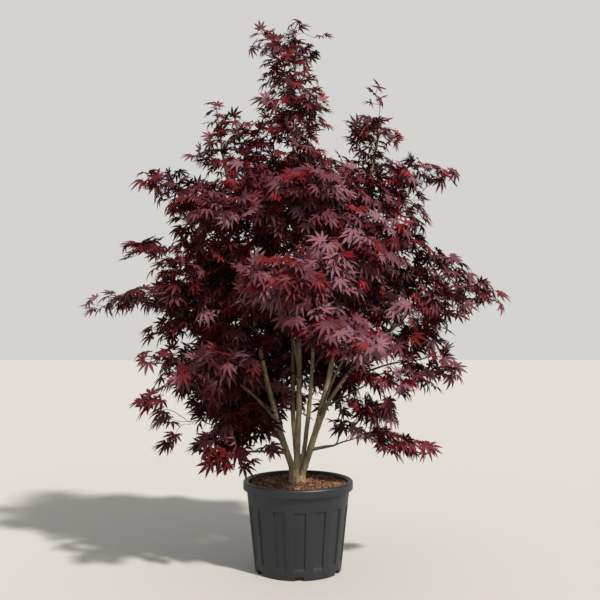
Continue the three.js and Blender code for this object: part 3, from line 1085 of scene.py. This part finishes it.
POT = {
    "foot": 157 * MM,
    "shoulder": 187 * MM,
    "rim": 200 * MM,
    "rim_depth": 32 * MM,
    "wall": 5 * MM,
    "floor": 6 * MM,
    "panels": 15,
    "panel_share": 0.56,
    "panel_depth": 5 * MM,
    "panel_top": 243 * MM,
    "panel_foot": 32 * MM,
    "holes": 6,
    "hole_width": 31 * MM,
    "hole_height": 16 * MM,
    "turn": math.radians(2.0),
}


def pot_wall(height):
    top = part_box("pot")[1].z - POT["rim_depth"]
    share = min(height / top, 1.0)
    return POT["foot"] + (POT["shoulder"] - POT["foot"]) * share


def pot_profile():
    """(radius, height, how far the panel is sunk there) from under the foot, out, up and in again."""
    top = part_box("pot")[1].z
    ledge = top - POT["rim_depth"]
    rim = POT["rim"]
    profile = [(0.0, 0.0, 0), (POT["foot"] - 3 * MM, 0.0, 0), (POT["foot"] - 0.8 * MM, 0.7 * MM, 0)]
    low, high = POT["panel_foot"], POT["panel_top"]
    heights = [3 * MM, 16 * MM, low - 14 * MM, low - 3 * MM]
    profile += [(pot_wall(z), z, 0.0) for z in heights]
    profile += [(pot_wall(low + 12 * MM * s), low + 12 * MM * s, s) for s in (0.35, 0.7, 1.0)]
    profile += [(pot_wall(z), z, 1.0) for z in np.linspace(low + 30 * MM, high - 4 * MM, 8)]
    profile += [(pot_wall(high - 1.6 * MM), high - 1.6 * MM, 1.0), (pot_wall(high), high, 0.0)]
    profile += [(pot_wall(z), z, 0.0) for z in (high + 3 * MM, (high + ledge) / 2, ledge - 3 * MM)]
    wall = pot_wall(ledge)
    profile += [(wall + 1 * MM, ledge - 0.4 * MM, 0), (rim - 3 * MM, ledge + 0.6 * MM, 0)]
    profile += [(rim - 0.7 * MM, ledge + 2 * MM, 0), (rim, ledge + 5 * MM, 0)]
    profile += [(rim - 0.4 * MM, top - 8 * MM, 0)]
    mouth = wall - POT["wall"]
    centre, half = (rim + mouth) / 2, (rim - mouth) / 2
    for turn in np.linspace(0.1, math.pi, 8):
        rise = top - 7 * MM + 7 * MM * math.sin(turn)
        profile.append((centre + half * math.cos(turn) * (1 - 0.06 * math.sin(turn)), rise, 0))
    profile += [(mouth, top - 20 * MM, 0), (mouth - 0.5 * MM, ledge, 0)]
    inner = pot_wall(POT["floor"]) - POT["wall"]
    profile += [(inner, POT["floor"], 0), (0.0, POT["floor"], 0)]
    return profile


def pot_bearings():
    """Bearings round the pot with how far each lies in a panel, from 0 on a rib to 1 inside a panel."""
    period = 2 * math.pi / POT["panels"]
    half = POT["panel_share"] / 2
    edge = 0.022
    places = [(-0.5, 0), (-0.42, 0), (-0.34, 0), (-half - edge, 0), (-half, 0.15), (-half + edge, 0.9)]
    places += [(-half + 2 * edge, 1), (-half * 0.45, 1), (0, 1), (half * 0.45, 1), (half - 2 * edge, 1)]
    places += [(half - edge, 0.9), (half, 0.15), (half + edge, 0), (0.34, 0), (0.42, 0)]
    bearings = []
    for panel in range(POT["panels"]):
        middle = -math.pi / 2 + POT["turn"] + panel * period
        bearings += [(middle + place * period, place * period, sunk) for place, sunk in places]
    return bearings


def build_pot():
    profile, bearings = pot_profile(), pot_bearings()
    rows, columns = len(profile), len(bearings)
    points = np.zeros((rows, columns, 3))
    for i, (radius, height, sunk) in enumerate(profile):
        for j, (bearing, offset, inside) in enumerate(bearings):
            depth = POT["panel_depth"] * sunk * inside
            flat = radius * (1 - math.cos(offset)) * sunk * inside * 0.7
            reach = radius - depth - flat + flat * 0.3
            points[i, j] = (reach * math.cos(bearing), reach * math.sin(bearing), height)
    shell = Shell()
    shell.add(points.reshape(-1, 3), [ring_quads(rows, columns)])
    pot = welded(shell.piece("nursery_pot", [pot_finish()]))
    notched(pot)
    smooth_by_angle(pot, 32)
    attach(pot, "root")
    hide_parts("pot")


def notched(pot):
    """Cuts the drainage notches out of the pot's foot."""
    cutter = bmesh.new()
    for i in range(POT["holes"]):
        bearing = -math.pi / 2 + POT["turn"] + i * 2 * math.pi / POT["holes"]
        out = Vector((math.cos(bearing), math.sin(bearing), 0))
        side = Vector((-out.y, out.x, 0)) * POT["hole_width"] / 2
        ring = []
        for z, width in ((-5 * MM, 1.0), (POT["hole_height"] - 3 * MM, 1.0), (POT["hole_height"], 0.8)):
            for reach, sign in ((142, -1), (142, 1), (172, 1), (172, -1)):
                ring.append(cutter.verts.new(out * reach * MM + side * sign * width + Vector((0, 0, z))))
        cutter.faces.new(ring[3::-1])
        cutter.faces.new(ring[8:12])
        for low, high in ((ring[:4], ring[4:8]), (ring[4:8], ring[8:12])):
            for k in range(4):
                after = (k + 1) % 4
                cutter.faces.new([low[k], low[after], high[after], high[k]])
    bmesh.ops.recalc_face_normals(cutter, faces=cutter.faces)
    mesh = bpy.data.meshes.new("notches")
    cutter.to_mesh(mesh)
    cutter.free()
    tool = linked("notches", mesh)
    with_modifier(pot, "BOOLEAN", operation="DIFFERENCE", object=tool, solver="EXACT")
    bpy.data.objects.remove(tool)


def smooth_by_angle(piece, degrees):
    """Smooth shading, with edges sharper than the angle kept crisp."""
    mesh = piece.data
    mesh.polygons.foreach_set("use_smooth", np.ones(len(mesh.polygons), bool))
    marked = bmesh.new()
    marked.from_mesh(mesh)
    for edge in marked.edges:
        edge.smooth = edge.calc_face_angle(0.0) < math.radians(degrees)
    marked.to_mesh(mesh)
    marked.free()


# ---- Mulch ---------------------------------------------------------------------------------------

SOIL_RINGS = 40
SOIL_COLUMNS = 120
CHIP_COUNT = 2600
CHIP_LENGTH = (6 * MM, 21 * MM)
CHIP_OUTLINE = [(-1, -1), (0.1, -1.1), (1, -0.8), (0.9, 0.9), (-0.1, 1.1), (-1, 0.8)]  # in half sizes


def soil_height(x, y):
    """The height of the soil under the chips: mounded at the trunk and lumpy."""
    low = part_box("soil")[1].z - 5 * MM
    radius = math.hypot(x, y)
    mound = 4 * MM * math.exp(-((radius / (75 * MM)) ** 2))
    lumps = noise.noise(Vector((x * 26, y * 26, 0))) * 2.4 * MM
    crumbs = noise.noise(Vector((x * 95, y * 95, 3))) * 1.3 * MM
    return low + mound + (lumps + crumbs)


def soil_plug():
    """The soil: a lumpy top on a plug that fills the pot."""
    shell = Shell()
    outer = pot_wall(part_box("soil")[1].z) - POT["wall"] - 0.6 * MM
    foot = pot_wall(POT["floor"]) - POT["wall"] - 0.8 * MM
    bottom = POT["floor"] + 0.6 * MM
    turns = np.arange(SOIL_COLUMNS) * 2 * math.pi / SOIL_COLUMNS
    round_once = np.stack([np.cos(turns), np.sin(turns)], 1)
    rings = []
    for radius in np.linspace(0.0, outer, SOIL_RINGS):
        rings.append([(x, y, soil_height(x, y)) for x, y in radius * round_once])
    for radius in (foot, 0.0):
        rings.append([(x, y, bottom) for x, y in radius * round_once])
    shell.add(np.array(rings).reshape(-1, 3), [ring_quads(len(rings), SOIL_COLUMNS)])
    finish = mulch_finish("dark compost", linear(52, 33, 24), linear(74, 48, 34))
    return welded(shell.piece("compost", [finish]))


def mulch_chips():
    """Flakes of bark lying on the soil, flat or propped on each other."""
    shell = Shell()
    outer = POT["shoulder"] - POT["wall"] - 8 * MM
    box = np.array([(x, y, z) for z in (-1, 1) for x, y in CHIP_OUTLINE])
    corners = len(CHIP_OUTLINE)
    ring = np.arange(corners)
    after = (ring + 1) % corners
    sides = np.stack([ring, after, after + corners, ring + corners], -1)
    caps = np.array([[5, 4, 3, 0], [3, 2, 1, 0], [6, 9, 10, 11], [6, 7, 8, 9]])
    for _ in range(CHIP_COUNT):
        radius = outer * math.sqrt(RNG.uniform(0.02, 1))
        bearing = RNG.uniform(0, 2 * math.pi)
        x, y = radius * math.cos(bearing), radius * math.sin(bearing)
        length = RNG.uniform(*CHIP_LENGTH) * RNG.uniform(0.6, 1)
        half = np.array([length / 2, length * RNG.uniform(0.12, 0.36), RNG.uniform(0.8, 2.2) * MM])
        points = box * half * RNG.uniform(0.78, 1.15, box.shape)
        face = Vector((*RNG.normal(0, 0.36, 2), 1.0)).normalized()
        tilt = np.array(face.to_track_quat("Z", "Y").to_matrix())
        spin = np.array(Matrix.Rotation(RNG.uniform(0, 2 * math.pi), 3, "Z"))
        points = points @ spin.T @ tilt.T
        lift = soil_height(x, y) + RNG.uniform(0.5, 5.0) * MM
        kind = int(RNG.choice(3, p=(0.45, 0.35, 0.2)))
        shell.add(points + (x, y, lift), [sides, caps], kind)
    finishes = [
        mulch_finish("red mulch", linear(120, 74, 50), linear(148, 98, 68)),
        mulch_finish("brown mulch", linear(84, 54, 38), linear(114, 78, 54)),
        mulch_finish("pale mulch", linear(168, 124, 88), linear(198, 158, 118)),
    ]
    return shell.piece("mulch_chips", finishes, smooth=False)


def build_mulch():
    soil, chips = soil_plug(), mulch_chips()
    for piece in (soil, chips):
        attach(piece, "root")
    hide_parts("soil")


# ---- The whole -----------------------------------------------------------------------------------

def add_floor():
    shell = Shell()
    half = 12.0
    corners = [(-half, -half, 0), (half, -half, 0), (half, half, 0), (-half, half, 0)]
    shell.add(np.array(corners), [np.array([[0, 1, 2, 3]])])
    floor = shell.piece("floor", [plain_finish("pale floor", linear(172, 170, 167), 0.9)])
    floor.location.z = -0.2 * MM


add_camera()
add_sun("sun", 5.0, 4.0, 312.0, 47.0, (1.0, 0.96, 0.9))
add_sky((1.0, 0.985, 0.96), 0.66)
add_floor()

build_pot()
build_mulch()
build_bark()

MASSES = [Mass(name) for name in FOLIAGE]
SHOOTS = grow_shoots(MASSES)
build_twigs(SHOOTS)
build_leaves(SHOOTS, MASSES)
